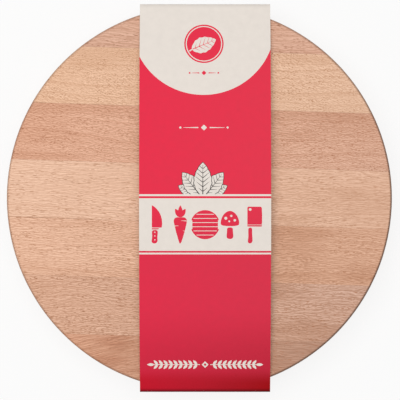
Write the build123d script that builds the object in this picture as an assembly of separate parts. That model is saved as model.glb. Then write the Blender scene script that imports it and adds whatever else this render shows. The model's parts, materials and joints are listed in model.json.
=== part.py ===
from build123d import *
import math
import os

# A round chopping block of edge-glued beech staves, with a hand hold routed into the rim at each
# end of the grain. It lies in the folded card sleeve that it is sold in, which slides off sideways.
# The block lies flat: +Z is up, the grain runs along X, and the origin is on the ground under the
# middle of the block. All sizes are in millimetres, and turns are in degrees.

# The block
block_diameter = 340.0
block_thickness = 40.0
arris_radius = 2.2  # rounding of the top and bottom edges of the rim

# The staves, glued edge to edge. The inner ones share one width, and the rim cuts the outer two.
stave_count = 7
back_stave_width = 40.0  # stave_1 at its widest, from the rim at +Y to its glue line
front_stave_width = 47.0  # stave_7 at its widest, from its glue line to the rim at -Y
glue_thickness = 0.15

# The hand holds, grooves of even depth that a round-nosed cutter leaves as it follows the rim
hold_length = 112.0  # straight across the mouth, rounded ends included
hold_height = 18.0
hold_depth = 15.0
hold_edge_radius = 2.5  # rounding where the groove meets the rim

# The card sleeve, one scored strip folded round the block and glued to its own flap underneath
sleeve_width = 114.5
sleeve_offset = 5.0  # the sleeve's middle, off the block's centre along the grain
sleeve_turn = 1.9  # the sleeve is turned this much from square to the grain
card_thickness = 0.5
card_clearance = 0.3  # between the card and the wood where they come closest
fold_radius = 1.2  # inside each scored fold
bow_height = 11.0  # how far the front panel springs up at its middle
flap_width = 24.0  # the glued flap, from the outside of its fold
back_edge_gap = 1.0  # the back panel stops this short of the outside of the fold

# The film of glue between the flap and the back panel
flap_glue_thickness = 0.1
flap_glue_margin = 5.0  # bare card left on each side of the glue

# Cutters and slabs run this far past what they cut
overrun = 20.0

block_radius = block_diameter / 2
block_bottom = 2 * card_thickness + flap_glue_thickness + card_clearance
block_top = block_bottom + block_thickness
block_middle = (block_bottom + block_top) / 2

# The inner staves are planed to the width that makes up the round, between glue line middles.
outer_staves_width = back_stave_width + front_stave_width
inner_stave_width = (block_diameter - outer_staves_width) / (stave_count - 2)

# Each part is written under its name, as a STEP file in parts.
pieces = {}


def disc():
    """The glued-up round with its arrises eased, before the hand holds are routed."""
    blank = Pos(0, 0, block_middle) * Cylinder(block_radius, block_thickness)
    return fillet(blank.edges().filter_by(GeomType.CIRCLE), arris_radius)


def hold_cutter():
    """What the round-nosed cutter sweeps at the +X end: a slot of even depth with ball ends."""
    nose_radius = hold_height / 2
    nose_reach = block_radius - hold_depth + nose_radius
    shank_length = block_radius + overrun - nose_reach
    shank_middle = nose_reach + shank_length / 2
    end_turn = math.degrees(math.asin((hold_length / 2 - nose_radius) / block_radius))
    section = Pos(shank_middle, 0) * Rectangle(shank_length, hold_height)
    section += Pos(nose_reach, 0) * Circle(nose_radius)
    swept = revolve(Plane.XZ * section, Axis.Z, 2 * end_turn)
    cutter = Rot(0, 0, -end_turn) * swept
    for turn in (-end_turn, end_turn):
        shank = Pos(shank_middle, 0, 0) * Rot(0, 90, 0) * Cylinder(nose_radius, shank_length)
        nose = Pos(nose_reach, 0, 0) * Sphere(nose_radius)
        cutter += Rot(0, 0, turn) * (shank + nose)
    return Pos(0, 0, block_middle) * cutter


def on_mouth(edge):
    """Whether an edge is part of the outline where a hand hold opens through the rim."""
    on_rim = all(
        abs(math.hypot(point.X, point.Y) - block_radius) < hold_edge_radius / 10
        for point in (edge @ share for share in (0.0, 0.5, 1.0))
    )
    return on_rim and abs(edge.center().Z - block_middle) < (block_thickness + hold_height) / 4


def routed_block():
    """The round with both hand holds, their mouths rounded over."""
    cutter = hold_cutter()
    block = disc() - cutter - Rot(0, 0, 180) * cutter
    return fillet([edge for edge in block.edges() if on_mouth(edge)], hold_edge_radius)


def seam_places():
    """The middle of each glue line along Y, from the +Y side of the block to the -Y side."""
    first = block_radius - back_stave_width
    return [first - step * inner_stave_width for step in range(stave_count - 1)]


def slab(low, high):
    """A board as long and thick as the block, and more, between two places along Y."""
    length = block_diameter + 2 * overrun
    height = block_thickness + 2 * overrun
    return Pos(0, (low + high) / 2, block_middle) * Box(length, high - low, height)


def glued_staves():
    """The staves and the glue between them, cut out of the routed round."""
    block = routed_block()
    seams = seam_places()
    half_glue = glue_thickness / 2
    tops = [block_radius + overrun] + [seam - half_glue for seam in seams]
    bottoms = [seam + half_glue for seam in seams] + [-block_radius - overrun]
    for number, (high, low) in enumerate(zip(tops, bottoms), start=1):
        pieces[f"stave_{number}"] = block & slab(low, high)
    for number, seam in enumerate(seams, start=1):
        pieces[f"glue_line_{number}"] = block & slab(seam - half_glue, seam + half_glue)


def card_path():
    """The middle of the card's thickness, seen along the grain, from the flap round to the back."""
    half_card = card_thickness / 2
    side = block_radius + card_clearance + half_card
    outside = side + half_card
    flap_level = card_thickness + flap_glue_thickness + half_card
    back_level = half_card
    front_level = block_top + card_clearance + half_card
    path = Wire(
        [
            Line((flap_width - outside, flap_level), (-side, flap_level)),
            Line((-side, flap_level), (-side, front_level)),
            ThreePointArc((-side, front_level), (0, front_level + bow_height), (side, front_level)),
            Line((side, front_level), (side, back_level)),
            Line((side, back_level), (back_edge_gap - outside, back_level)),
        ]
    )
    folds = [corner for corner in path.vertices() if abs(abs(corner.X) - side) < half_card / 2]
    return path.fillet_2d(fold_radius + half_card, folds)


def place_on_block(part):
    """Sets a piece of the sleeve a little askew on the block, as it lies in use."""
    return Rot(0, 0, sleeve_turn) * Pos(sleeve_offset, 0, 0) * part


def folded_sleeve():
    """The card strip and the film of glue that holds its flap to its back panel."""
    section = trace(card_path(), card_thickness)
    sleeve = extrude(Plane.YZ * section, sleeve_width / 2, both=True)
    outside = block_radius + card_clearance + card_thickness
    film_width = flap_width - 2 * flap_glue_margin
    film_middle = flap_width / 2 - outside
    film = Box(sleeve_width - 2 * flap_glue_margin, film_width, flap_glue_thickness)
    film_level = card_thickness + flap_glue_thickness / 2
    pieces["card_sleeve"] = place_on_block(sleeve)
    pieces["flap_glue"] = place_on_block(Pos(0, film_middle, film_level) * film)


glued_staves()
folded_sleeve()
os.makedirs("parts", exist_ok=True)
for name, piece in pieces.items():
    export_step(piece, f"parts/{name}.step")
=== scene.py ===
import bisect
import json
import math

import bpy
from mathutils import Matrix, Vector
from mathutils.geometry import delaunay_2d_cdt


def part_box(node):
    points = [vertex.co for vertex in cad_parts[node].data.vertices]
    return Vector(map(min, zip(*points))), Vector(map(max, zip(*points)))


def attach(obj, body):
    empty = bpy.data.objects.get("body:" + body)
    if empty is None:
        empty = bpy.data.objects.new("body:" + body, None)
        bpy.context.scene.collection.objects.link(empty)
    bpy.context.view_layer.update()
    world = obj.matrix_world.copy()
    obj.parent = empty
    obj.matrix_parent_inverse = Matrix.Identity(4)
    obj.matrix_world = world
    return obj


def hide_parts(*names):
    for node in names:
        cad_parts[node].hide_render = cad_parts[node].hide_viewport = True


# A round chopping block of glued beech staves, lying in its folded card sleeve.
# Metres. +Z is up, the grain runs along X, and the block's middle is over the origin.

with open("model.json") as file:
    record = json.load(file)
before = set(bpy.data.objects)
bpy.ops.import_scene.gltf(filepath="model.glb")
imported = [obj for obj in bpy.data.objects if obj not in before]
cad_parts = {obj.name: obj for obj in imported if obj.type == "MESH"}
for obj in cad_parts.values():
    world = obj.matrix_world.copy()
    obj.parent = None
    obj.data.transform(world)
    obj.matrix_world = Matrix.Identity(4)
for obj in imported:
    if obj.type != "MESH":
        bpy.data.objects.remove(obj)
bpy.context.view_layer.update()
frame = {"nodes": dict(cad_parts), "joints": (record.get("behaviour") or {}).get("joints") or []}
nodes = frame["nodes"]
scene = bpy.context.scene

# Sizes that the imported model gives
blockLow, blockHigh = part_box("stave_4")  # the middle stave, which runs from rim to rim
blockRadius = blockHigh.x
blockTop = blockHigh.z
blockMiddle = (blockLow.z + blockHigh.z) / 2
slideWay = Vector(frame["joints"][0]["axis"]).normalized()  # the sleeve slides along its own width
sleeveTurn = math.atan2(slideWay.y, slideWay.x)
upWay = Vector((-slideWay.y, slideWay.x, 0))  # along the sleeve, towards stave_1
sleeveAcross = [slideWay.dot(v.co) for v in nodes["card_sleeve"].data.vertices]
sleeveAlong = [upWay.dot(v.co) for v in nodes["card_sleeve"].data.vertices]
sleeveWidth = max(sleeveAcross) - min(sleeveAcross)
sleeveShift = (max(sleeveAcross) + min(sleeveAcross)) / 2
sleeveReach = (max(sleeveAlong) - min(sleeveAlong)) / 2
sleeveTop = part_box("card_sleeve")[1].z
print("frame loaded: block", round(2 * blockRadius, 4), "across, sleeve", round(sleeveWidth, 4), "wide")


# Small helpers for node trees

def feed(tree, socket, value):
    if isinstance(value, bpy.types.NodeSocket):
        tree.links.new(value, socket)
    else:
        socket.default_value = value


def addNode(tree, kind, inputs=None, **settings):
    node = tree.nodes.new(kind)
    for name, value in settings.items():
        setattr(node, name, value)
    for socket, value in (inputs or {}).items():
        feed(tree, node.inputs[socket], value)
    return node


def maths(tree, operation, *values):
    node = addNode(tree, "ShaderNodeMath", operation=operation)
    for socket, value in zip(node.inputs, values):
        feed(tree, socket, value)
    return node.outputs[0]


def plus(tree, first, second):
    return maths(tree, "ADD", first, second)


def minus(tree, first, second):
    return maths(tree, "SUBTRACT", first, second)


def times(tree, first, second):
    return maths(tree, "MULTIPLY", first, second)


def vectorMaths(tree, operation, *values):
    node = addNode(tree, "ShaderNodeVectorMath", operation=operation)
    for socket, value in zip(node.inputs, values):
        feed(tree, socket, value)
    return node.outputs["Value" if operation in ("LENGTH", "DISTANCE", "DOT_PRODUCT") else "Vector"]


def combine(tree, x, y, z):
    return addNode(tree, "ShaderNodeCombineXYZ", {0: x, 1: y, 2: z}).outputs[0]


def separate(tree, vector):
    return addNode(tree, "ShaderNodeSeparateXYZ", {0: vector}).outputs


def ramp(tree, value, start, end, low=0.0, high=1.0, smooth=True):
    node = addNode(tree, "ShaderNodeMapRange", interpolation_type="SMOOTHSTEP" if smooth else "LINEAR")
    for socket, given in zip(node.inputs, (value, start, end, low, high)):
        feed(tree, socket, given)
    return node.outputs["Result"]


def blendColor(tree, factor, first, second, kind="MIX"):
    node = addNode(tree, "ShaderNodeMix", data_type="RGBA", blend_type=kind)
    for index, value in ((0, factor), (6, first), (7, second)):
        feed(tree, node.inputs[index], value)
    return node.outputs[2]


noiseMiddle = 0.5
noiseSpan = (0.2, 0.8)  # nearly all of a noise lies between these


def noise(tree, point, blotch, detail=0.0, output="Fac"):
    # blotch is the size of one patch of the noise along X, Y and Z
    scaled = vectorMaths(tree, "DIVIDE", point, blotch)
    node = addNode(tree, "ShaderNodeTexNoise", {"Vector": scaled, "Scale": 1.0, "Detail": detail})
    return node.outputs[output]


def newGroup(name, inputs, outputs):
    # a default of one number makes a float socket, and one of three numbers a vector
    tree = bpy.data.node_groups.new(name, "ShaderNodeTree")
    for way, sockets in (("INPUT", inputs), ("OUTPUT", outputs)):
        for label, default in sockets.items():
            kind = "NodeSocketVector" if isinstance(default, tuple) else "NodeSocketFloat"
            socket = tree.interface.new_socket(label, in_out=way, socket_type=kind)
            socket.default_value = default
    return tree, tree.nodes.new("NodeGroupInput").outputs, tree.nodes.new("NodeGroupOutput").inputs


def useGroup(tree, group, inputs):
    return addNode(tree, "ShaderNodeGroup", inputs, node_tree=group).outputs


def paint(code):
    # a colour as it shows on screen, six hex digits, turned into the linear values that nodes take
    parts = [int(code[i:i + 2], 16) / 255 for i in (0, 2, 4)]
    return [((p + 0.055) / 1.055) ** 2.4 if p > 0.04045 else p / 12.92 for p in parts] + [1.0]


def coat(tree, color, mask, depth, code):
    # another colour over this one, as far as its mask and its depth go
    return blendColor(tree, times(tree, mask, depth), color, paint(code))


def newMaterial(name):
    material = bpy.data.materials.new(name)
    material.use_nodes = True
    tree = material.node_tree
    shader = tree.nodes["Principled BSDF"]
    return material, tree, shader


def bump(tree, shader, height, depth):
    node = addNode(tree, "ShaderNodeBump", {"Height": height, "Distance": depth, "Strength": 1.0})
    feed(tree, shader.inputs["Normal"], node.outputs["Normal"])


def finish(name, material):
    nodes[name].data.materials.clear()
    nodes[name].data.materials.append(material)


# Camera, floor and light

camera = {
    "height": 0.7695,  # above the ground, which gives the sleeve's bow its slight swell in the view
    "pixel": 0.8827e-3,  # what one pixel covers at the edge's level
    "edgeLevel": 0.0396,  # that of the round's outline, as the camera sees it
    "pictureWidth": 400,  # in pixels
    "offset": (0.55e-3, -1.72e-3),  # along the sleeve's width and length
}


def makeCamera():
    data = bpy.data.cameras.new("camera")
    holder = bpy.data.objects.new("camera", data)
    scene.collection.objects.link(holder)
    place = slideWay * camera["offset"][0] + upWay * camera["offset"][1]
    holder.location = (place.x, place.y, camera["height"])
    holder.rotation_euler = (0, 0, sleeveTurn)
    span = camera["pixel"] * camera["pictureWidth"]
    data.lens = data.sensor_width * (camera["height"] - camera["edgeLevel"]) / span
    scene.camera = holder


studio = {
    "floorSize": 8.0,
    "floorGap": 0.0003,  # under the sleeve's back panel
    "floorColor": "f8f8f7", "floorRoughness": 0.9, "floorGloss": 0.1,
    "floorGlow": 0.80,  # the share of plain white that the camera sees in the floor
    "glowFrom": 0.45, "glowTo": 1.20,  # between these distances that grows to all of it
    "skyLight": 0.30,
    "keyPlace": (-0.30, 0.26, 2.30),
    "keySize": 2.6,
    "keyPower": 46.0,
}


def makeFloor():
    half, level = studio["floorSize"] / 2, -studio["floorGap"]
    mesh = bpy.data.meshes.new("floor")
    corners = [(x * half, y * half, level) for x, y in ((-1, -1), (1, -1), (1, 1), (-1, 1))]
    mesh.from_pydata(corners, [], [(0, 1, 2, 3)])
    floor = bpy.data.objects.new("floor", mesh)
    scene.collection.objects.link(floor)
    material, tree, shader = newMaterial("studioFloor")
    feed(tree, shader.inputs["Base Color"], paint(studio["floorColor"]))
    shader.inputs["Roughness"].default_value = studio["floorRoughness"]
    shader.inputs["Specular IOR Level"].default_value = studio["floorGloss"]
    white = addNode(tree, "ShaderNodeEmission", {"Color": (1, 1, 1, 1), "Strength": 1.0})
    light = addNode(tree, "ShaderNodeLightPath")
    seen = maths(tree, "MAXIMUM", light.outputs["Is Camera Ray"], light.outputs["Is Glossy Ray"])
    away = vectorMaths(tree, "LENGTH", addNode(tree, "ShaderNodeTexCoord").outputs["Object"])
    glow = ramp(tree, away, studio["glowFrom"], studio["glowTo"], studio["floorGlow"], 1.0)
    share = times(tree, seen, glow)
    mixed = addNode(tree, "ShaderNodeMixShader", {0: share, 1: shader.outputs[0], 2: white.outputs[0]})
    feed(tree, tree.nodes["Material Output"].inputs["Surface"], mixed.outputs[0])
    mesh.materials.append(material)


def makeLight():
    world = bpy.data.worlds.new("studio")
    scene.world = world
    world.use_nodes = True
    tree = world.node_tree
    light = addNode(tree, "ShaderNodeLightPath")
    seen = maths(tree, "MAXIMUM", light.outputs["Is Camera Ray"], light.outputs["Is Transmission Ray"])
    strength = ramp(tree, seen, 0.0, 1.0, studio["skyLight"], 1.0, smooth=False)
    background = tree.nodes["Background"]
    background.inputs["Color"].default_value = (1, 1, 1, 1)
    feed(tree, background.inputs["Strength"], strength)
    lamp = bpy.data.lights.new("keyLight", "AREA")
    lamp.size = studio["keySize"]
    lamp.energy = studio["keyPower"]
    holder = bpy.data.objects.new("keyLight", lamp)
    scene.collection.objects.link(holder)
    holder.location = studio["keyPlace"]
    holder.rotation_euler = (Vector((0, 0, blockTop)) - holder.location).to_track_quat("-Z", "Y").to_euler()


scene.view_settings.view_transform = "Standard"
makeCamera()
makeFloor()
makeLight()
print("camera, floor and light made")


# Beech, cut from the solid: growth rings round the tree's pith, rays that run out from it,
# and vessels along the grain, so that every face shows its own cut of the same wood

woodFigure = {
    "seedShift": (1.3, 2.1, 3.7),  # how one stave's noise is set apart from the next one's
    "slowBlotch": (0.16, 0.05, 0.05), "fineBlotch": (0.018, 0.008, 0.008),  # the rings' wander and ripple
    "widthScale": 0.21, "widthSwing": 2.2,  # how soon the rings' width changes, and by how many rings
    "seasons": ((2.0, 0.45), (9.0, 0.55)),  # a ring darkens by these powers, each with its share
    "lateEnd": 0.93,  # the part of a ring from which it falls back to pale
    "palestRing": 0.5,  # against the darkest
    "raySets": ((1.0, (0.0, 0.0, 0.0)), (1.35, (17.3, 5.1, 9.7))),  # scale and shift of two sets of rays
    "rayScatter": 0.9,
    "raySizes": (0.14, 0.42), "rayCore": 0.40,  # from small to large, and the share of it in full colour
    "rayChances": (0.3, 1.0, 0.3, 2.2),  # three in ten are faint, and the others range up to deep
    "livelyBlotch": (0.030, 0.007, 0.007), "lively": (0.35, 0.65, 0.5, 1.45),  # calm and busy places
    "besideStep": 0.0009,  # a fibre is told from those that lie this far to either side
    "toneBlotch": (0.110, 0.018, 0.018),
    "vesselBlotch": (0.0016, 0.00016, 0.00016), "vesselSpan": (0.60, 0.72),
    "endSpan": (0.25, 0.85),  # how far a face turns along the grain before it shows as end grain
}


def makeFigureGroup():
    tree, given, give = newGroup("beechFigure", {
        "Point": (0, 0, 0), "Normal": (0, 0, 1), "Pith": (0, 0, -0.2), "Pith Depth": 0.2, "Lean": 0.0,
        "Bow": 0.0, "Ring Width": 0.0026, "Wander": 0.006, "Ripple": 0.0006, "Ray Height": 0.0026,
        "Ray Width": 0.0005, "Ray Reach": 0.009, "Fibre Length": 0.012, "Fibre Width": 0.0006,
        "Fibre Lean": 0.0, "Crispness": 1.5, "Seed": 0.0,
    }, {"Ring": 0.0, "Ray": 0.0, "Streak": 0.0, "Tone": 0.0, "Vessel": 0.0, "End": 0.0})
    seed = combine(tree, given["Seed"], given["Seed"], given["Seed"])
    shift = vectorMaths(tree, "MULTIPLY", seed, woodFigure["seedShift"])
    seeded = vectorMaths(tree, "ADD", given["Point"], shift)

    def swayed(point, blotch, reach):
        # a point moved by a noise of its own
        cloud = noise(tree, seeded, blotch, output="Color")
        sway = vectorMaths(tree, "SUBTRACT", cloud, (noiseMiddle,) * 3)
        scaled = addNode(tree, "ShaderNodeVectorMath", {0: sway, "Scale": reach}, operation="SCALE")
        return vectorMaths(tree, "ADD", point, scaled.outputs[0])

    moved = swayed(given["Point"], woodFigure["slowBlotch"], given["Wander"])
    moved = swayed(moved, woodFigure["fineBlotch"], given["Ripple"])
    along, side, up = separate(tree, vectorMaths(tree, "SUBTRACT", moved, given["Pith"]))
    slope = plus(tree, given["Lean"], times(tree, along, given["Bow"]))
    side = minus(tree, side, times(tree, along, slope))
    radius = maths(tree, "SQRT", plus(tree, times(tree, side, side), times(tree, up, up)))
    angle = maths(tree, "ARCTAN2", up, side)

    # growth rings: a slow darkening to the late wood, then a sharp edge, no two rings alike
    years = maths(tree, "DIVIDE", radius, given["Ring Width"])
    uneven = addNode(tree, "ShaderNodeTexNoise", {"W": years, "Scale": woodFigure["widthScale"]},
                     noise_dimensions="1D")
    years = plus(tree, years, times(tree, uneven.outputs["Fac"], woodFigure["widthSwing"]))
    season = maths(tree, "FRACT", years)
    late = plus(tree, *(times(tree, maths(tree, "POWER", season, power), share)
                        for power, share in woodFigure["seasons"]))
    late = times(tree, late, ramp(tree, season, 1.0, woodFigure["lateEnd"]))
    ringNumber = plus(tree, maths(tree, "FLOOR", years), given["Seed"])
    year = addNode(tree, "ShaderNodeTexWhiteNoise", {"W": ringNumber}, noise_dimensions="1D")
    strength = ramp(tree, year.outputs["Value"], 0.0, 1.0, woodFigure["palestRing"], 1.0)
    feed(tree, give["Ring"], times(tree, late, strength))

    # rays: thin leaves that stand along the grain and point at the pith, cut here to short dashes
    # on a flat face and to flecks where the cut runs along them
    tilt = times(tree, along, given["Fibre Lean"])
    spread = minus(tree, times(tree, angle, given["Pith Depth"]), tilt)
    leaf = combine(tree, maths(tree, "DIVIDE", along, given["Ray Height"]),
                   maths(tree, "DIVIDE", radius, given["Ray Reach"]),
                   maths(tree, "DIVIDE", spread, given["Ray Width"]))
    dashes = []
    for scale, offset in woodFigure["raySets"]:
        placed = vectorMaths(tree, "ADD", vectorMaths(tree, "ADD", leaf, shift), offset)
        cells = addNode(tree, "ShaderNodeTexVoronoi", {
            "Vector": placed, "Scale": scale, "Randomness": woodFigure["rayScatter"]}).outputs
        chance = addNode(tree, "ShaderNodeSeparateColor", {0: cells["Color"]}).outputs
        size = ramp(tree, chance[0], 0.0, 1.0, *woodFigure["raySizes"], smooth=False)
        depth = ramp(tree, chance[1], *woodFigure["rayChances"], smooth=False)
        core = times(tree, size, woodFigure["rayCore"])
        dashes.append(times(tree, depth, ramp(tree, cells["Distance"], size, core)))
    lively = noise(tree, seeded, woodFigure["livelyBlotch"], detail=1.0)
    lively = ramp(tree, lively, *woodFigure["lively"])
    feed(tree, give["Ray"], times(tree, maths(tree, "MAXIMUM", *dashes), lively))

    # long fibres, slow changes of tone, and the vessels, which show as hair lines or as dots
    fibre = combine(tree, along, minus(tree, side, tilt), up)
    cell = combine(tree, given["Fibre Length"], given["Fibre Width"], given["Fibre Width"])
    streak = noise(tree, fibre, cell, detail=1.0)
    steps = [(0, way * woodFigure["besideStep"], 0) for way in (-1, 1)]
    beside = [noise(tree, vectorMaths(tree, "ADD", fibre, step), cell, detail=1.0) for step in steps]
    between = times(tree, plus(tree, *beside), 0.5)
    crisp = times(tree, minus(tree, streak, between), given["Crispness"])
    swing = times(tree, minus(tree, plus(tree, streak, crisp), noiseMiddle), lively)
    feed(tree, give["Streak"], plus(tree, swing, noiseMiddle))
    feed(tree, give["Tone"], noise(tree, seeded, woodFigure["toneBlotch"], detail=1.0))
    vessels = noise(tree, fibre, woodFigure["vesselBlotch"])
    feed(tree, give["Vessel"], ramp(tree, vessels, *woodFigure["vesselSpan"]))
    facing = separate(tree, given["Normal"])["X"]
    feed(tree, give["End"], ramp(tree, maths(tree, "ABSOLUTE", facing), *woodFigure["endSpan"]))
    return tree


# On the round: painted shade along the rim's rounded edge, deepest on the side away from the light, the
# routed holds, darker inside, and the cutter's marks across them. Each pair of distances says where a mark
# starts and where it is complete.
rimShadeAndMarks = {
    "color": "5f4030",
    "edgeIn": (0.0027, 0.0010), "edgeDown": (0.0036, 0.0020),  # inwards from the rim, and from the face
    "edgeDark": -0.44,  # the way round, in radians from +X, where the painted shade on the edge is darkest, away from the light
    "edgeSpan": 1.75,  # it is palest this far round from there, in radians, and beyond
    "edgeDepth": 0.82, "edgeLeast": 0.31,  # how dark it is at its darkest and at its palest
    "routedIn": (0.0006, 0.0030), "routedDown": (0.0075, 0.0095),
    "routedDepth": 0.28,
    "chatter": 0.0013,  # from one cutter mark to the next
}


def makeRimMaskGroup():
    tree, given, give = newGroup("rimShadeAndMarks", {
        "Point": (0, 0, 0), "Radius": blockRadius, "Middle": blockMiddle, "Half": blockTop - blockMiddle},
        {"Edge Shade": 0.0, "Routed": 0.0, "Marks": 0.0})
    x, y, z = separate(tree, given["Point"])
    flat = combine(tree, x, y, 0.0)
    inside = minus(tree, given["Radius"], vectorMaths(tree, "LENGTH", flat))
    fromMiddle = maths(tree, "ABSOLUTE", minus(tree, z, given["Middle"]))
    fromFace = minus(tree, given["Half"], fromMiddle)
    # the outer part of the rounded edge, where it turns into the rim, darkened as painted shade
    edge = times(tree, ramp(tree, inside, *rimShadeAndMarks["edgeIn"]), ramp(tree, fromFace, *rimShadeAndMarks["edgeDown"]))
    darkWay = (math.cos(rimShadeAndMarks["edgeDark"]), math.sin(rimShadeAndMarks["edgeDark"]), 0)
    facing = vectorMaths(tree, "DOT_PRODUCT", vectorMaths(tree, "NORMALIZE", flat), darkWay)
    uneven = ramp(tree, facing, math.cos(rimShadeAndMarks["edgeSpan"]), 1.0,
                  rimShadeAndMarks["edgeLeast"], rimShadeAndMarks["edgeDepth"], smooth=False)
    feed(tree, give["Edge Shade"], times(tree, edge, uneven))
    # the holds, and the marks that run across them where the cutter went round the rim
    deep = ramp(tree, inside, *rimShadeAndMarks["routedIn"])
    routed = times(tree, deep, ramp(tree, fromFace, *rimShadeAndMarks["routedDown"]))
    feed(tree, give["Routed"], routed)
    turn = times(tree, maths(tree, "ARCTAN2", y, x), blockRadius * math.tau / rimShadeAndMarks["chatter"])
    feed(tree, give["Marks"], times(tree, routed, maths(tree, "SINE", turn)))
    return tree


# A patch is broken up by this noise, and fades in between the two shares of its reach.
patchLook = {"blotch": (0.030, 0.006, 0.006), "detail": 2.0, "edge": (1.1, 0.3)}


def makePatchGroup():
    # one soft patch of another tone, as where a stave takes in some darker heartwood; on stave_6 one is
    # painted shadow beside the sleeve
    tree, given, give = newGroup("beechPatch", {
        "Point": (0, 0, 0), "Place": (0, 0, 0), "Reach": (0.05, 0.01, 0.04)}, {"Mask": 0.0})
    cloud = noise(tree, given["Point"], patchLook["blotch"], patchLook["detail"], "Color")
    ragged = vectorMaths(tree, "SUBTRACT", cloud, (noiseMiddle,) * 3)
    away = vectorMaths(tree, "SUBTRACT", given["Point"], given["Place"])
    away = vectorMaths(tree, "ADD", vectorMaths(tree, "DIVIDE", away, given["Reach"]), ragged)
    feed(tree, give["Mask"], ramp(tree, vectorMaths(tree, "LENGTH", away), *patchLook["edge"]))
    return tree


figureGroup = makeFigureGroup()
rimMaskGroup = makeRimMaskGroup()
patchGroup = makePatchGroup()

# What all staves share, unless a stave's own row says otherwise. pith is where the middle of its tree
# lay, seen from the stave's own middle. patches are (place along X, place along Y, half length, half
# width, depth), and the two thin ones are wood that soaked up glue beside the open seam.
beech = {
    "ringWidth": 0.0026, "lean": 0.0, "bow": 0.0, "wander": 0.016, "ripple": 0.0018,
    "rayHeight": 0.0065, "rayWidth": 0.0007, "rayReach": 0.0030,
    "fibreLength": 0.011, "fibreWidth": 0.00052, "fibreLean": 0.0,
    "crispness": 2.3,  # how far the fibres stand out against those beside them
    "ringDepth": 0.80, "rayDepth": 1.0, "streakDepth": 0.36, "toneDepth": 2.0, "vesselDepth": 0.25,
    "streakHue": (0.72, 1.0, 1.25),  # the fibres tell less in red than in blue
    "lightAndShadeDrift": (1.0, 1.0, 1.0),  # painted light and shade: red, green and blue of the right end against the left, as they show
    "endDepth": 0.40, "endRings": 0.65, "endColor": "8a5a3c",  # how dark the end grain is, and its rings
    "roughness": 0.52, "raySheen": 0.08,  # the rays are that much smoother
    "relief": 0.00005, "streakRise": 0.6, "vesselSink": 0.3, "markRise": 0.6,
}
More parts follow.
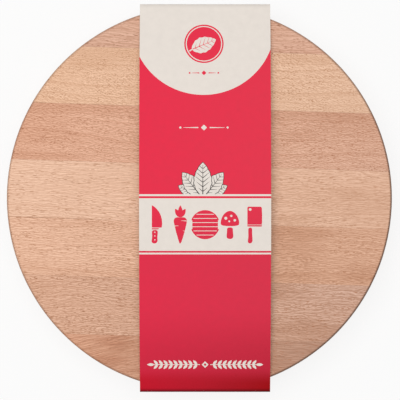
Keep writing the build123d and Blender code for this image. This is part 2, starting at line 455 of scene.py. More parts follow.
staves = {
    "stave_1": {
        "pale": "e5b599", "deep": "d6a183", "ring": "c28969", "ray": "b07352",
        "pith": (0, -0.100, -0.115), "lean": -0.035, "ringWidth": 0.0036, "rayDepth": 0.80,
        "lightAndShadeDrift": (1.04, 1.045, 1.065),
        "patches": []},
    "stave_2": {
        "pale": "f7c8a5", "deep": "eab791", "ring": "d59e76", "ray": "c3885f",
        "pith": (0, -0.060, -0.050), "lean": 0.01, "ripple": 0.0012, "rayHeight": 0.0027,
        "fibreLength": 0.0031, "fibreLean": -0.22, "crispness": 2.6, "streakDepth": 0.34,
        "lightAndShadeDrift": (0.985, 1.005, 1.035),
        "patches": [(-0.09, 0.124, 0.07, 0.008, 0.35), (-0.098, 0.114, 0.028, 0.007, 0.30),
                    (0.085, 0.1255, 0.040, 0.006, 0.35)]},
    "stave_3": {
        "pale": "f1ba9a", "deep": "e4a886", "ring": "cf8f6b", "ray": "bd7954",
        "pith": (0, -0.080, -0.100), "ringWidth": 0.0024, "rayHeight": 0.0040,
        "fibreLength": 0.0042, "crispness": 4.2, "streakDepth": 0.40,
        "lightAndShadeDrift": (0.965, 0.990, 1.020),
        "patches": [(0.0, 0.076, 0.3, 0.009, 0.40), (0.14, 0.068, 0.06, 0.014, 0.30),
                    (-0.15, 0.033, 0.06, 0.005, 0.45), (-0.145, 0.058, 0.05, 0.020, 0.25),
                    (0.087, 0.058, 0.024, 0.008, 0.35), (0.121, 0.0775, 0.024, 0.007, 0.35)]},
    "stave_4": {
        "pale": "fdd0b2", "deep": "f0bf9f", "ring": "dba683", "ray": "c9906c",
        "pith": (0, 0.100, 0.120), "lean": 0.015, "rayHeight": 0.0075, "rayDepth": 0.85,
        "fibreLength": 0.0086, "crispness": 4.4, "streakDepth": 0.31,
        "lightAndShadeDrift": (0.94, 0.92, 0.91),
        "patches": [(0.12, 0.003, 0.10, 0.016, 0.25), (-0.135, -0.0217, 0.060, 0.0009, 0.80),
                    (0.085, -0.015, 0.022, 0.007, 0.35), (0.133, 0.009, 0.020, 0.010, 0.30)]},
    "stave_5": {
        "pale": "fac9aa", "deep": "eab593", "ring": "d79d79", "ray": "c48762",
        "pith": (0, -0.090, -0.100), "rayHeight": 0.0055,
        "fibreLength": 0.0065, "crispness": 2.6, "streakDepth": 0.46,
        "lightAndShadeDrift": (0.92, 0.895, 0.88),
        "patches": [(0.080, -0.0265, 0.048, 0.009, 0.65), (0.0, -0.068, 0.3, 0.01, 0.28),
                    (-0.12, -0.026, 0.07, 0.005, 0.25), (0.11, -0.060, 0.09, 0.016, 0.25),
                    (0.085, -0.040, 0.034, 0.022, 0.55), (-0.135, -0.0219, 0.060, 0.0009, 0.80),
                    (0.080, -0.066, 0.025, 0.008, 0.45), (0.146, -0.060, 0.020, 0.010, 0.30)]},
    "stave_6": {
        "pale": "edbb9c", "deep": "dda684", "ring": "ca8f6b", "ray": "b77954",
        "pith": (0, 0.080, 0.110), "lean": -0.01, "rayHeight": 0.0052,
        "fibreLength": 0.0075, "crispness": 3.8, "streakDepth": 0.48,
        "lightAndShadeDrift": (0.925, 0.950, 1.0),
        # the second patch is painted shadow, beside the sleeve's right edge
        "patches": [(0.10, -0.114, 0.09, 0.012, 0.60), (0.074, -0.080, 0.030, 0.012, 0.55),
                    (0.103, -0.106, 0.022, 0.008, 0.35)]},
    "stave_7": {
        "pale": "efb491", "deep": "e1a07a", "ring": "c17851", "ray": "ba7249",
        "pith": (0, -0.090, -0.100), "lean": 0.12, "bow": -0.65, "ringWidth": 0.0036, "ringDepth": 1.0,
        "rayDepth": 0.50, "fibreLength": 0.020, "crispness": 1.8, "streakDepth": 0.46,
        "lightAndShadeDrift": (0.80, 0.86, 0.93),
        "patches": [(-0.070, -0.1295, 0.019, 0.010, 0.60), (-0.076, -0.145, 0.021, 0.008, 0.50),
                    (0.020, -0.150, 0.115, 0.050, 0.35)]},
}
seedStep = 0.731  # from one stave to the next
lightAndShadeDriftPower = 2.2  # from a ratio as it shows to one in linear values


def beechMaterial(name, look, seed):
    look = {**beech, **look}
    low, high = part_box(name)
    pith = (low + high) / 2 + Vector(look["pith"])
    material, tree, shader = newMaterial("beech_" + name)
    where = addNode(tree, "ShaderNodeTexCoord").outputs
    masks = useGroup(tree, figureGroup, {
        "Point": where["Object"], "Normal": where["Normal"], "Pith": (0, pith.y, pith.z),
        "Pith Depth": math.hypot(pith.y - (low.y + high.y) / 2, pith.z - blockTop),
        "Lean": look["lean"], "Bow": look["bow"], "Ring Width": look["ringWidth"],
        "Wander": look["wander"], "Ripple": look["ripple"],
        "Ray Height": look["rayHeight"], "Ray Width": look["rayWidth"], "Ray Reach": look["rayReach"],
        "Fibre Length": look["fibreLength"], "Fibre Width": look["fibreWidth"],
        "Fibre Lean": look["fibreLean"], "Crispness": look["crispness"], "Seed": seed})
    rimMasks = useGroup(tree, rimMaskGroup, {"Point": where["Object"]})

    # the wood's own tone, with its patches and rings, then the painted light and shade that drifts from the
    # left end to the right
    swing = noiseMiddle * look["toneDepth"]
    tone = ramp(tree, masks["Tone"], noiseMiddle - swing, noiseMiddle + swing)
    color = blendColor(tree, tone, paint(look["pale"]), paint(look["deep"]))
    for x, y, halfLength, halfWidth, depth in look["patches"]:
        patch = useGroup(tree, patchGroup, {"Point": where["Object"], "Place": (x, y, blockTop),
                                            "Reach": (halfLength, halfWidth, blockTop)})
        color = coat(tree, color, patch["Mask"], depth, look["ring"])
    color = coat(tree, color, masks["Ring"], look["ringDepth"], look["ring"])
    # painted light and shade across the stave, from its left end to its right
    reach = ramp(tree, separate(tree, where["Object"])["X"], -blockRadius, blockRadius, smooth=False)
    far = [part ** lightAndShadeDriftPower for part in look["lightAndShadeDrift"]] + [1.0]
    color = blendColor(tree, 1.0, color, blendColor(tree, reach, (1, 1, 1, 1), far), "MULTIPLY")

    # fibres, rays, vessels and end grain over it, then the painted shade on the rim's edge and the darker
    # holds
    streaks = {}
    for channel, hue in enumerate(look["streakHue"]):
        share = look["streakDepth"] / 2 * hue
        streaks[channel] = ramp(tree, masks["Streak"], *noiseSpan, 1 - share, 1 + share, smooth=False)
    streaks = addNode(tree, "ShaderNodeCombineColor", streaks).outputs[0]
    color = blendColor(tree, 1.0, color, streaks, "MULTIPLY")
    color = coat(tree, color, masks["Ray"], look["rayDepth"], look["ray"])
    color = coat(tree, color, masks["Vessel"], look["vesselDepth"], look["ray"])
    color = coat(tree, color, masks["End"], look["endDepth"], look["ray"])
    endRings = times(tree, masks["Ring"], masks["End"])
    color = coat(tree, color, endRings, look["endRings"], look["endColor"])
    routed = times(tree, rimMasks["Routed"], rimShadeAndMarks["routedDepth"])
    rimDarkening = maths(tree, "MAXIMUM", rimMasks["Edge Shade"], routed)
    feed(tree, shader.inputs["Base Color"], blendColor(tree, rimDarkening, color, paint(rimShadeAndMarks["color"])))

    smoothest = look["roughness"] - look["raySheen"]
    rough = ramp(tree, masks["Ray"], 0.0, 1.0, look["roughness"], smoothest, smooth=False)
    feed(tree, shader.inputs["Roughness"], rough)
    sunk = plus(tree, times(tree, masks["Vessel"], look["vesselSink"]), masks["Ray"])
    height = minus(tree, times(tree, masks["Streak"], look["streakRise"]), sunk)
    height = plus(tree, height, times(tree, rimMasks["Marks"], look["markRise"]))
    bump(tree, shader, height, look["relief"])
    return material


for number, (name, look) in enumerate(staves.items(), start=1):
    finish(name, beechMaterial(name, look, number * seedStep))
print("staves finished:", len(staves))


# The cured glue between the staves, and the paper glue under the flap

glue = {
    "seam": "a87450", "seamBlotch": 0.012, "paper": "d9d2bd", "paperBlotch": 0.003,
    "cloudShade": 0.75,  # of the colour, where the glue is cloudy
    "roughness": (0.30, 0.45), "relief": 0.00002,
    "open": "3a2416",  # where a joint was not quite closed and the line of glue is thick and dark
    "openSeam": "glue_line_4", "openStart": -0.03, "openEnd": -0.15,
    "openBlotch": 0.012, "openBroken": (0.35, 0.60, 0.45, 1.0),  # it comes and goes a little
}


def glueMaterial(name, color, blotch, opens=False):
    material, tree, shader = newMaterial(name)
    where = addNode(tree, "ShaderNodeTexCoord").outputs
    cloud = noise(tree, where["Object"], (blotch,) * 3, detail=2.0)
    darker = [part * glue["cloudShade"] for part in paint(color)[:3]] + [1.0]
    shade = blendColor(tree, cloud, paint(color), darker)
    if opens:
        along = separate(tree, where["Object"])["X"]
        broken = noise(tree, where["Object"], (glue["openBlotch"],) * 3, detail=1.0)
        broken = ramp(tree, broken, *glue["openBroken"])
        far = ramp(tree, along, glue["openStart"], glue["openEnd"])
        shade = coat(tree, shade, far, broken, glue["open"])
    feed(tree, shader.inputs["Base Color"], shade)
    feed(tree, shader.inputs["Roughness"], ramp(tree, cloud, *noiseSpan, *glue["roughness"]))
    bump(tree, shader, cloud, glue["relief"])
    return material


seamMaterial = glueMaterial("seamGlue", glue["seam"], glue["seamBlotch"])
openMaterial = glueMaterial("openSeamGlue", glue["seam"], glue["seamBlotch"], opens=True)
for name in nodes:
    if name.startswith("glue_line"):
        finish(name, openMaterial if name == glue["openSeam"] else seamMaterial)
finish("flap_glue", glueMaterial("flapGlue", glue["paper"], glue["paperBlotch"]))
print("glue finished")


# The card sleeve: a flat strip, printed, then folded round the block

card = {
    "thickness": 0.0005,
    "foldRadius": 0.0012,  # inside each fold
    "flapWidth": 0.024,
    "glueFilm": 0.0001,
    "backEdgeGap": 0.001,
    "bowHeight": 0.011,
    "bowStep": 0.005,  # between the rows of points along the front panel
    "foldSteps": 8,
    "circleSteps": 72,
    "drawnScale": 1000,  # the strip is cut up in millimetres
    "mergeWithin": 1e-5,  # millimetres
    "slack": 1e-9,  # for points that lie on a row but for rounding
    "sharpAngle": math.radians(30),
}


def arcPoints(centre, radius, start, end, steps):
    angles = [start + (end - start) * i / steps for i in range(steps + 1)]
    return [(centre[0] + radius * math.cos(a), centre[1] + radius * math.sin(a)) for a in angles]


def foldedLine():
    # the outside of the card seen along the grain, from the flap's edge round to the back panel's edge
    outer = card["foldRadius"] + card["thickness"]
    low = card["thickness"] + card["glueFilm"]  # the flap's outer face lies on the glue film
    halfChord = sleeveReach - card["thickness"] / 2
    bowRadius = (card["bowHeight"] ** 2 + halfChord ** 2) / (2 * card["bowHeight"]) + card["thickness"] / 2
    bowCentre = sleeveTop - bowRadius
    foldY = sleeveReach - outer
    foldZ = bowCentre + math.sqrt((bowRadius - outer) ** 2 - foldY ** 2)
    lean = math.atan2(foldZ - bowCentre, -foldY)
    steps = card["foldSteps"]
    bowSteps = round(2 * sleeveReach / card["bowStep"])
    line = [(-sleeveReach + card["flapWidth"], low)]
    line += arcPoints((-foldY, low + outer), outer, 1.5 * math.pi, math.pi, steps)
    line += arcPoints((-foldY, foldZ), outer, math.pi, lean, steps)
    line += arcPoints((0, bowCentre), bowRadius, lean, math.pi - lean, bowSteps)[1:-1]
    line += arcPoints((foldY, foldZ), outer, math.pi - lean, 0, steps)
    line += arcPoints((foldY, outer), outer, 0, -math.pi / 2, steps)
    line += [(-sleeveReach + card["backEdgeGap"], 0)]
    return line


def measured(line):
    # how far along the strip each point of the line lies, from the middle of the front panel
    run = [0.0]
    for (y0, z0), (y1, z1) in zip(line, line[1:]):
        run.append(run[-1] + math.hypot(y1 - y0, z1 - z0))
    top = max(range(len(line)), key=lambda i: line[i][1])
    return [r - run[top] for r in run]


# The print is drawn in outlines, which are lists of points across and along the strip. A shape is an
# ink with its outline.

inkOrder = ("crimson", "pale", "black")
crimsonInk, paleInk, blackInk = range(len(inkOrder))


def circle(centre, radius, steps=card["circleSteps"]):
    return arcPoints(centre, radius, 0.0, math.tau, steps)[:-1]


def bar(low, high, half, middle=0.0):
    # an upright rectangle between two places along the strip
    return [(middle - half, low), (middle + half, low), (middle + half, high), (middle - half, high)]


def turned(points, centre, angle=0.0, size=1.0):
    c, s = math.cos(angle) * size, math.sin(angle) * size
    return [(centre[0] + x * c - y * s, centre[1] + x * s + y * c) for x, y in points]


def rounded(points):
    # cuts the corners of an outline twice, which makes it look drawn in one curve
    for _ in range(2):
        kept = []
        for (x0, y0), (x1, y1) in zip(points, points[1:] + points[:1]):
            kept.append((0.75 * x0 + 0.25 * x1, 0.75 * y0 + 0.25 * y1))
            kept.append((0.25 * x0 + 0.75 * x1, 0.25 * y0 + 0.75 * y1))
        points = kept
    return points


def stroke(start, end, width, tip=0.3):
    # a thin tapered line between two points
    (x0, y0), (x1, y1) = start, end
    run = math.hypot(x1 - x0, y1 - y0)
    nx, ny = -(y1 - y0) / run * width / 2, (x1 - x0) / run * width / 2
    return [(x0 - nx, y0 - ny), (x1 - nx * tip, y1 - ny * tip),
            (x1 + nx * tip, y1 + ny * tip), (x0 + nx, y0 + ny)]


# A beech leaf. Its widths are shares of its length, and the places along it too.
leafLook = {
    "skew": 0.85, "fullness": 0.8,  # broadest a little below its middle
    "wave": 0.05, "steps": 20,
    "vein": 0.022, "ribStart": 0.04, "ribEnd": 0.93, "ribWidth": 1.3,  # the last against the other veins
    "firstVein": 0.14, "veinSpan": 0.68,
    "veinLean": 0.62, "veinReach": 0.80,  # against half the leaf's width
}


def leafHalf(width, t):
    return width / 2 * math.sin(math.pi * t ** leafLook["skew"]) ** leafLook["fullness"]


def leafOutline(length, width, waves=0):
    side = []
    for i in range(1, leafLook["steps"]):
        t = i / leafLook["steps"]
        half = leafHalf(width, t) * (1 + leafLook["wave"] * math.sin(waves * math.tau * t))
        side.append((t * length, half))
    return [(0, 0)] + [(x, -y) for x, y in side] + [(length, 0)] + side[::-1]


def leaf(ink, veinInk, place, angle, length, width, veins=5, border=0.0):
    vein = length * leafLook["vein"]
    outlines = [leafOutline(length, width, veins)]
    outlines.append(stroke((length * leafLook["ribStart"], 0), (length * leafLook["ribEnd"], 0),
                           vein * leafLook["ribWidth"]))
    for i in range(veins):
        t = leafLook["firstVein"] + leafLook["veinSpan"] * i / (veins - 1)
        half = leafHalf(width, t)
        for way in (-1, 1):
            end = (t * length + half * leafLook["veinLean"], way * half * leafLook["veinReach"])
            outlines.append(stroke((t * length, way * vein * 0.5), end, vein))
    shapes = [(veinInk, turned(outline, place, angle)) for outline in outlines]
    shapes[0] = (ink, shapes[0][1])
    if border:
        edge = turned(leafOutline(length + 2 * border, width + 2 * border, veins), (-border, 0))
        shapes.insert(0, (veinInk, turned(edge, place, angle)))
    return shapes


def diamond(ink, place, half):
    return [(ink, turned([(-1, 0), (0, -1), (1, 0), (0, 1)], place, 0.0, half))]


# A diamond between two tapering rules, each ending in a dot, in shares of the diamond's half width
ornamentLook = {"ruleStart": 1.9, "dot": 0.36, "dotSteps": 20}


def ornament(ink, place, reach, thick, gem):
    x, y = place
    shapes = diamond(ink, place, gem)
    for way in (-1, 1):
        start = x + way * gem * ornamentLook["ruleStart"]
        shapes.append((ink, stroke((start, y), (x + way * (reach - gem), y), thick)))
        dot = circle((x + way * reach, y), gem * ornamentLook["dot"], ornamentLook["dotSteps"])
        shapes.append((ink, dot))
    return shapes


# A ringed disc with a leaf on it, in shares of the ring's radius
medalLook = {
    "ringInside": 0.925, "disc": 0.875,
    "leafStart": (-0.62, -0.30), "leafTurn": 0.40, "leafLength": 1.34, "leafWidth": 0.80,
    "stalk": (-0.13, -0.09), "stalkWidth": 0.06,
}


def medallion(ink, ground, place, radius):
    shapes = [(ink, circle(place, radius))]
    shapes.append((ground, circle(place, radius * medalLook["ringInside"])))
    shapes.append((ink, circle(place, radius * medalLook["disc"])))
    start = tuple(p + radius * part for p, part in zip(place, medalLook["leafStart"]))
    foot = tuple(p + radius * part for p, part in zip(start, medalLook["stalk"]))
    shapes.append((ground, stroke(foot, start, radius * medalLook["stalkWidth"], tip=1.0)))
    return shapes + leaf(ground, ink, start, medalLook["leafTurn"],
                         radius * medalLook["leafLength"], radius * medalLook["leafWidth"])


# Five leaves that stand behind the pale panel's rule: each one's turn, its share of the reach and how
# far to the side it grows
sprigLook = {
    "leaves": ((0.30, 0.66, 0.004), (-0.30, 0.66, -0.004), (0.21, 0.88, 0.002), (-0.21, 0.88, -0.002),
               (0.0, 1.0, 0.0)),
    "fan": 5.2, "gather": 0.45,  # how far a turn spreads them, and how much less the long ones
    "sink": 0.05, "width": 0.52, "veins": 6, "border": 0.0006,
}


def sprig(place, reach):
    x, y = place
    shapes = []
    for turn, share, side in sprigLook["leaves"]:
        angle = math.pi / 2 - sprigLook["fan"] * turn * (1 - sprigLook["gather"] * share)
        length = reach * share
        shapes += leaf(paleInk, blackInk, (x + side, y - sprigLook["sink"] * reach), angle, length,
                       length * sprigLook["width"], sprigLook["veins"], sprigLook["border"])
    return shapes


# Small leaves in pairs on a stem, either side of a diamond
garlandLook = {
    "gem": 0.0030, "gemHeart": 0.0013, "stemStart": 0.0045, "stemWidth": 0.0006,
    "firstLeaf": 0.0070, "lastLeaf": 0.0040,  # from the middle, and from the end
    "leaf": (0.0052, 0.0023), "leafTurn": 0.85, "tip": (0.0062, 0.0026), "tipBack": 0.0008,
}


def garland(level, reach, count):
    shapes = diamond(paleInk, (0, level), garlandLook["gem"])
    shapes += diamond(crimsonInk, (0, level), garlandLook["gemHeart"])
    first, last = garlandLook["firstLeaf"], reach - garlandLook["lastLeaf"]
    for way in (-1, 1):
        outward = math.pi / 2 * (1 - way)
        stemFoot = (way * garlandLook["stemStart"], level)
        stem = stroke(stemFoot, (way * reach, level), garlandLook["stemWidth"], tip=1.0)
        shapes.append((paleInk, stem))
        for i in range(count):
            x = first + (last - first) * i / (count - 1)
            for side in (-1, 1):
                angle = outward + way * side * garlandLook["leafTurn"]
                shapes.append((paleInk, turned(leafOutline(*garlandLook["leaf"]), (way * x, level), angle)))
        place = (way * (reach - garlandLook["tipBack"]), level)
        shapes.append((paleInk, turned(leafOutline(*garlandLook["tip"]), place, outward)))
    return shapes


# The block's own picture, in millimetres like the other kitchen things
blockPicture = {"radius": 12.6, "seam": 0.55, "seamGap": 1.3,
                "holdLength": 7.6, "holdDepth": 1.5, "holdPast": 4.0}


def blockSeams():
    # pale lines for the seams, and notches for the hand holds
    radius, past = blockPicture["radius"], blockPicture["holdPast"]
    outlines = []
    for number in range(1, len(staves)):
        y = radius - 2 * radius * number / len(staves)
        half = math.sqrt(radius ** 2 - y ** 2) - blockPicture["seamGap"]
        outlines.append(bar(y - blockPicture["seam"] / 2, y + blockPicture["seam"] / 2, half))
    for way in (-1, 1):
        middle = way * (radius - blockPicture["holdDepth"] + past / 2)
        half = blockPicture["holdLength"] / 2
        outlines.append(bar(-half, half, past / 2, middle))
    return outlines


# Kitchen things for the pale panel, in millimetres, upright about their own middles: the column of the
# row that each stands in, its crimson outlines, and the pale ones on top of them
pictures = {
    "knife": {
        "column": -2,
        "crimson": [
            [(-3.2, -2.5), (5.4, -2.5), (5.8, 1.0), (5.5, 4.5), (4.6, 8.0), (3.0, 11.3), (0.6, 14.2),
             (-1.8, 16.2), (-3.2, 16.8)],
            [(-3.2, -4.1), (2.1, -4.1), (3.2, -3.1), (-3.2, -3.1)],
            rounded([(-3.1, -4.7), (2.0, -4.7), (1.9, -8.0), (1.5, -11.0), (1.9, -13.8), (1.2, -15.6),
                     (-0.8, -16.4), (-2.8, -15.9), (-3.5, -14.4), (-2.9, -11.0), (-3.0, -8.0)])],
        "pale": [circle((-0.6, y), 0.55, 16) for y in (-6.6, -9.8, -13.2)]},
    "carrot": {
        "column": -1,
        "crimson": [
            rounded([(-0.8, -16.4), (0.6, -16.2), (2.1, -11.5), (3.8, -6.0), (5.2, 0.0), (5.9, 3.4),
                     (5.0, 5.6), (2.8, 6.6), (0.0, 6.2), (-2.8, 6.6), (-5.0, 5.6), (-5.9, 3.4),
                     (-5.2, 0.0), (-3.8, -6.0), (-2.2, -11.5)]),
            *(turned(leafOutline(length, 4.0), (0, 6.4), math.pi / 2 + turn)
              for turn, length in ((-0.55, 8.6), (0.0, 10.4), (0.55, 8.6)))],
        "pale": [stroke((start, y), (end, y + 0.3), 0.7) for start, end, y in
                 ((5.8, 0.8, 3.2), (-5.8, -1.52, -1.2), (5.8, 2.48, -5.6), (-5.8, -2.72, -9.6))]},
    "block": {
        "column": 0,
        "crimson": [circle((0, 0), blockPicture["radius"])],
        "pale": blockSeams()},
    "mushroom": {
        "column": 1,
        "crimson": [
            rounded([(-8.2, 0.6), (-7.6, 5.0), (-5.4, 9.2), (-2.2, 11.6), (0.0, 12.0), (2.2, 11.6),
                     (5.4, 9.2), (7.6, 5.0), (8.2, 0.6), (6.8, -0.8), (2.0, -1.3), (-2.0, -1.3),
                     (-6.8, -0.8)]),
            rounded([(-2.6, -2.4), (2.6, -2.4), (2.5, -6.0), (3.0, -9.6), (2.6, -11.8), (0.0, -12.6),
                     (-2.6, -11.8), (-3.0, -9.6), (-2.5, -6.0)])],
        "pale": [circle((x, y), size, 24) for x, y, size in
                 ((-3.6, 5.6, 1.3), (1.2, 7.6, 1.0), (4.2, 3.8, 1.1), (-0.6, 2.9, 0.8))]},
    "cleaver": {
        "column": 2,
        "crimson": [
            [(-6.4, -1.6), (6.0, -1.6), (6.3, 2.0), (6.4, 8.0), (6.1, 14.6), (5.2, 15.6), (-5.6, 15.6),
             (-6.4, 14.8)],
            rounded([(-5.6, -2.6), (-2.2, -2.6), (-2.3, -7.0), (-2.0, -11.0), (-1.8, -14.0), (-2.6, -15.8),
                     (-4.4, -16.4), (-5.9, -15.6), (-6.0, -13.4), (-5.5, -11.0), (-5.6, -7.0)])],
        "pale": [circle((-4.0, 13.2), 1.2, 24), bar(-0.4, 0.0, 6.3)]},
}


def kitchenRow(middle, step):
    shapes = []
    for picture in pictures.values():
        centre = (picture["column"] * step, middle)
        for ink, outlines in ((crimsonInk, picture["crimson"]), (paleInk, picture["pale"])):
            shapes += [(ink, turned(outline, centre, 0.0, 1 / card["drawnScale"])) for outline in outlines]
    return shapes


# The print, in metres on the flat strip: across from its middle line, and along from the front's middle.
# An ornament's rule is its reach, its thickness and its diamond's half width.
printed = {
    "archRadius": 0.0628, "archCentre": (-0.0015, 0.1526),  # the pale top field ends in this arch
    "topField": 0.2124,  # where the pale field stops, at the fold on to the back panel
    "bandTop": 0.0033, "bandRule": 0.0017, "bandPanel": -0.0002, "bandFoot": -0.0459, "footRule": 0.0015,
    "medal": 0.0172, "medalPlace": (-0.0010, 0.1352),
    "sprigPlace": (-0.0020, 0.0033), "sprigReach": 0.0290,
    "iconPlace": -0.0231, "iconStep": 0.0215,
    "topOrnament": (-0.0010, 0.1092), "topRule": (0.0125, 0.0009, 0.0021),
    "middleOrnament": (-0.0010, 0.0612), "middleRule": (0.0205, 0.0010, 0.0026),
    "garland": -0.1462, "garlandReach": 0.0455, "garlandLeaves": 9,
    "backMiddle": 0.3820, "backMedal": 0.0215,  # the middle of the back panel, and the medallion there
    "backOrnament": 0.0470, "backGarland": 0.0900, "backRule": 0.1450,  # each way from the middle
}


def backPanel(half):
    # underneath: a pale medallion, with an ornament, a garland and a rule on each side of it
    p = printed
    shapes = medallion(paleInk, crimsonInk, (0, p["backMiddle"]), p["backMedal"])
    for way in (-1, 1):
        shapes += ornament(paleInk, (0, p["backMiddle"] + way * p["backOrnament"]), *p["middleRule"])
        shapes += garland(p["backMiddle"] + way * p["backGarland"], p["garlandReach"], p["garlandLeaves"])
        rule = p["backMiddle"] + way * p["backRule"]
        shapes.append((paleInk, bar(rule - p["bandRule"] / 2, rule + p["bandRule"] / 2, half)))
    return shapes


def printLayout():
    # later shapes lie on earlier ones
    half = sleeveWidth  # the fields run out past both edges, where they are trimmed
    p = printed
    arch = arcPoints(p["archCentre"], p["archRadius"], math.pi, math.tau, card["circleSteps"])
    shapes = [(paleInk, bar(p["archCentre"][1], p["topField"], half)), (paleInk, arch)]
    shapes += medallion(crimsonInk, paleInk, p["medalPlace"], p["medal"])
    shapes += ornament(crimsonInk, p["topOrnament"], *p["topRule"])
    shapes += ornament(paleInk, p["middleOrnament"], *p["middleRule"])
    shapes += sprig(p["sprigPlace"], p["sprigReach"])
    shapes.append((crimsonInk, bar(p["bandFoot"], p["bandTop"], half)))
    shapes.append((paleInk, bar(p["bandTop"] - p["bandRule"], p["bandTop"], half)))
    shapes.append((paleInk, bar(p["bandFoot"], p["bandPanel"], half)))
    shapes.append((paleInk, bar(p["bandFoot"] - 2 * p["footRule"], p["bandFoot"] - p["footRule"], half)))
    shapes += kitchenRow(p["iconPlace"], p["iconStep"])
    shapes += garland(p["garland"], p["garlandReach"], p["garlandLeaves"])
    return shapes + backPanel(half)


def clipped(outline, low, high, half):
    # the part of an outline that lies on the strip
    def cut(points, inside, cross):
        kept = []
        for a, b in zip(points, points[1:] + points[:1]):
            if inside(a):
                kept.append(a)
            if inside(a) != inside(b):
                kept.append(cross(a, b))
        return kept

    def atX(limit):
        return lambda a, b: (limit, a[1] + (b[1] - a[1]) * (limit - a[0]) / (b[0] - a[0]))

    def atY(limit):
        return lambda a, b: (a[0] + (b[0] - a[0]) * (limit - a[1]) / (b[1] - a[1]), limit)

    for inside, cross in ((lambda q: q[0] > -half, atX(-half)), (lambda q: q[0] < half, atX(half)),
                          (lambda q: q[1] > low, atY(low)), (lambda q: q[1] < high, atY(high))):
        outline = cut(outline, inside, cross)
        if not outline:
            break
    return outline


def makeSleeve(materials):
    line = foldedLine()
    run = measured(line)
    half, scale = sleeveWidth / 2, card["drawnScale"]
    points, edges, faces, inks = [], [], [], []

    def addOutline(outline, ink):
        # the triangulation fills an outline that runs anticlockwise
        area = sum(x0 * y1 - x1 * y0 for (x0, y0), (x1, y1) in zip(outline, outline[1:] + outline[:1]))
        if area < 0:
            outline = outline[::-1]
        faces.append(list(range(len(points), len(points) + len(outline))))
        points.extend(Vector(p) * scale for p in outline)
        inks.append(ink)

    addOutline([(-half, run[0]), (half, run[0]), (half, run[-1]), (-half, run[-1])], crimsonInk)
    for ink, outline in printLayout():
        outline = clipped(outline, run[0], run[-1], half)
        if outline:
            addOutline(outline, ink)
    for r in run:
        edges.append((len(points), len(points) + 1))
        points.extend((Vector((-half, r)) * scale, Vector((half, r)) * scale))
    insideOnly = 1  # triangles inside the outlines, and no others
    cutUp = delaunay_2d_cdt(points, edges, faces, insideOnly, card["mergeWithin"])
    flat, _, triangles, _, _, sources = cutUp

    # each point of the flat strip goes to its place on the folded line
    vertices = []
    for p in flat:
        across, along = p[0] / scale, p[1] / scale
        i = min(max(bisect.bisect_right(run, along + card["slack"]) - 1, 0), len(run) - 2)
        share = (along - run[i]) / (run[i + 1] - run[i])
        y, z = (start + (end - start) * share for start, end in zip(line[i], line[i + 1]))
        vertices.append((across, y, z))
    mesh = bpy.data.meshes.new("printed_sleeve")
    mesh.from_pydata(vertices, [], triangles)
    for material in materials:
        mesh.materials.append(material)
    for polygon, source in zip(mesh.polygons, sources):
        polygon.material_index = inks[max(source)]
        polygon.use_smooth = True

    sleeve = bpy.data.objects.new("printed_sleeve", mesh)
    scene.collection.objects.link(sleeve)
    solid = sleeve.modifiers.new("cardThickness", "SOLIDIFY")
    solid.thickness = card["thickness"]
    solid.offset = -1
    solid.use_even_offset = True
    solid.material_offset = len(inkOrder)
    solid.material_offset_rim = len(inkOrder)
    shaped = sleeve.evaluated_get(bpy.context.evaluated_depsgraph_get())
    sleeve.data = bpy.data.meshes.new_from_object(shaped)
    sleeve.modifiers.clear()
    sleeve.data.set_sharp_from_angle(angle=card["sharpAngle"])
    sleeve.location = slideWay * sleeveShift
    sleeve.rotation_euler = (0, 0, sleeveTurn)
    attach(sleeve, "sleeve")
    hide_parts("card_sleeve")
    return sleeve


inkLook = {
    "crimson": "ef2b4a", "pale": "eee5dc", "black": "2a2526", "bare": "d8d3c8",
    # Painted light and shade on the crimson: the reds that it turns to down the front, where each starts
    # and is complete, and how far it goes at the left edge and at the right. The first, over all of it, is
    # a painted sheen that greys it towards the right; the others are painted shade that deepens it down the
    # front, most at the foot, where the card bends away from the light.
    "lightAndShadeFades": [("bf5d5d", 0.300, 0.200, 0.00, 0.10), ("c82b48", 0.005, -0.048, 0.22, 0.32),
              ("960017", -0.092, -0.149, 0.23, 0.38), ("c8001e", -0.148, -0.162, 0.80, 0.00),
              ("a4000a", -0.148, -0.164, 0.00, 1.00)],
    "roughness": 0.42, "bareRoughness": 0.8, "roughnessSwing": (-0.04, 0.06), "gloss": 0.10,
    "mottle": 0.03, "mottleBlotch": 0.006,
    "tooth": 0.00001, "toothBlotch": (0.0003, 0.0006, 0.0003),
    "rub": 0.0006, "rubDepth": 0.22,  # how far from a fold the ink is rubbed, and how much
    "cutRub": 0.5,  # the share of that at a cut edge
    "rubBlotch": (0.0016, 0.0010, 0.0010), "rubSpan": (0.42, 0.60),
    "foldShade": 0.0042,  # how far from a fold painted shade darkens the ink, where the card turns away from the light, and how much for each ink
    "crimsonFoldShade": 0.78, "paleFoldShade": 0.12,
    "topFold": 0.0022, "footFold": 0.0012,  # the marks stop so far under the top folds and over the ground
    "foldFade": 0.0008,
}


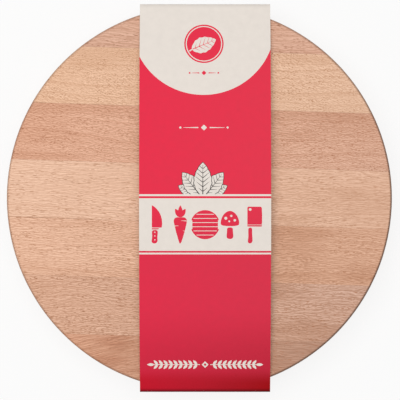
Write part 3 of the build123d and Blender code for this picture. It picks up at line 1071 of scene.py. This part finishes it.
def makeCardGroup():
    # the cloudiness and tooth of coated card, where its folds and cut edges are rubbed, and the painted
    # shade near its folds
    tree, given, give = newGroup("cardSurface", {
        "Point": (0, 0, 0), "Half Width": 0.05, "Reach": 0.17, "Rub": 0.001, "Fold Shade Reach": 0.001},
        {"Mottle": 0.0, "Tooth": 0.0, "Rubbed": 0.0, "Fold Shade": 0.0})
    feed(tree, give["Mottle"], noise(tree, given["Point"], (inkLook["mottleBlotch"],) * 3, detail=3.0))
    feed(tree, give["Tooth"], noise(tree, given["Point"], inkLook["toothBlotch"], detail=2.0))
    x, y, z = separate(tree, given["Point"])
    fromCut = minus(tree, given["Half Width"], maths(tree, "ABSOLUTE", x))
    fromFold = minus(tree, given["Reach"], maths(tree, "ABSOLUTE", y))
    overTop = minus(tree, z, sleeveTop - card["bowHeight"] - inkLook["topFold"])
    corner = maths(tree, "MAXIMUM", overTop, minus(tree, inkLook["footFold"], z))
    # painted shade near the folds
    nearFold = ramp(tree, fromFold, given["Fold Shade Reach"], 0.0)
    feed(tree, give["Fold Shade"], times(tree, nearFold, ramp(tree, corner, 0.0, inkLook["topFold"])))
    fold = ramp(tree, fromFold, given["Rub"], 0.0)
    fold = times(tree, fold, ramp(tree, corner, 0.0, inkLook["foldFade"]))
    cut = ramp(tree, fromCut, times(tree, given["Rub"], inkLook["cutRub"]), 0.0)
    broken = noise(tree, given["Point"], inkLook["rubBlotch"], detail=3.0)
    broken = ramp(tree, broken, *inkLook["rubSpan"])
    feed(tree, give["Rubbed"], times(tree, maths(tree, "MAXIMUM", cut, fold), broken))
    return tree


cardGroup = makeCardGroup()


def cardMaterial(name, color, lightAndShadeFades=(), foldShade=0.0, roughness=inkLook["roughness"]):
    material, tree, shader = newMaterial(name)
    where = addNode(tree, "ShaderNodeTexCoord").outputs
    surface = useGroup(tree, cardGroup, {
        "Point": where["Object"], "Half Width": sleeveWidth / 2, "Reach": sleeveReach,
        "Rub": inkLook["rub"], "Fold Shade Reach": inkLook["foldShade"]})
    ink = paint(color)
    across, along, _ = separate(tree, where["Object"])
    # painted sheen and painted shade over the crimson
    for other, start, end, left, right in lightAndShadeFades:
        depth = ramp(tree, across, -sleeveWidth / 2, sleeveWidth / 2, left, right, smooth=False)
        ink = blendColor(tree, ramp(tree, along, start, end, 0.0, depth), ink, paint(other))
    swing = inkLook["mottle"]
    shade = ramp(tree, surface["Mottle"], *noiseSpan, 1 - swing, 1 + swing, smooth=False)
    # painted shade near the folds, as deep as this ink takes it
    shade = times(tree, shade, maths(tree, "MULTIPLY_ADD", surface["Fold Shade"], -foldShade, 1.0))
    grey = addNode(tree, "ShaderNodeCombineColor", {0: shade, 1: shade, 2: shade}).outputs[0]
    ink = blendColor(tree, 1.0, ink, grey, "MULTIPLY")
    ink = coat(tree, ink, surface["Rubbed"], inkLook["rubDepth"], inkLook["bare"])
    feed(tree, shader.inputs["Base Color"], ink)
    smoothest, roughest = (roughness + swing for swing in inkLook["roughnessSwing"])
    feed(tree, shader.inputs["Roughness"], ramp(tree, surface["Mottle"], *noiseSpan, smoothest, roughest))
    shader.inputs["Specular IOR Level"].default_value = inkLook["gloss"]
    bump(tree, shader, surface["Tooth"], inkLook["tooth"])
    return material


# in the order of the inks, and then the bare card of the inside and the cut edges
sleeve = makeSleeve([
    cardMaterial("sleeveCrimson", inkLook["crimson"], inkLook["lightAndShadeFades"], inkLook["crimsonFoldShade"]),
    cardMaterial("sleevePale", inkLook["pale"], foldShade=inkLook["paleFoldShade"]),
    cardMaterial("sleeveBlack", inkLook["black"]),
    cardMaterial("sleeveBareCard", inkLook["bare"], roughness=inkLook["bareRoughness"])])
print("sleeve folded and printed:", len(sleeve.data.polygons), "faces")
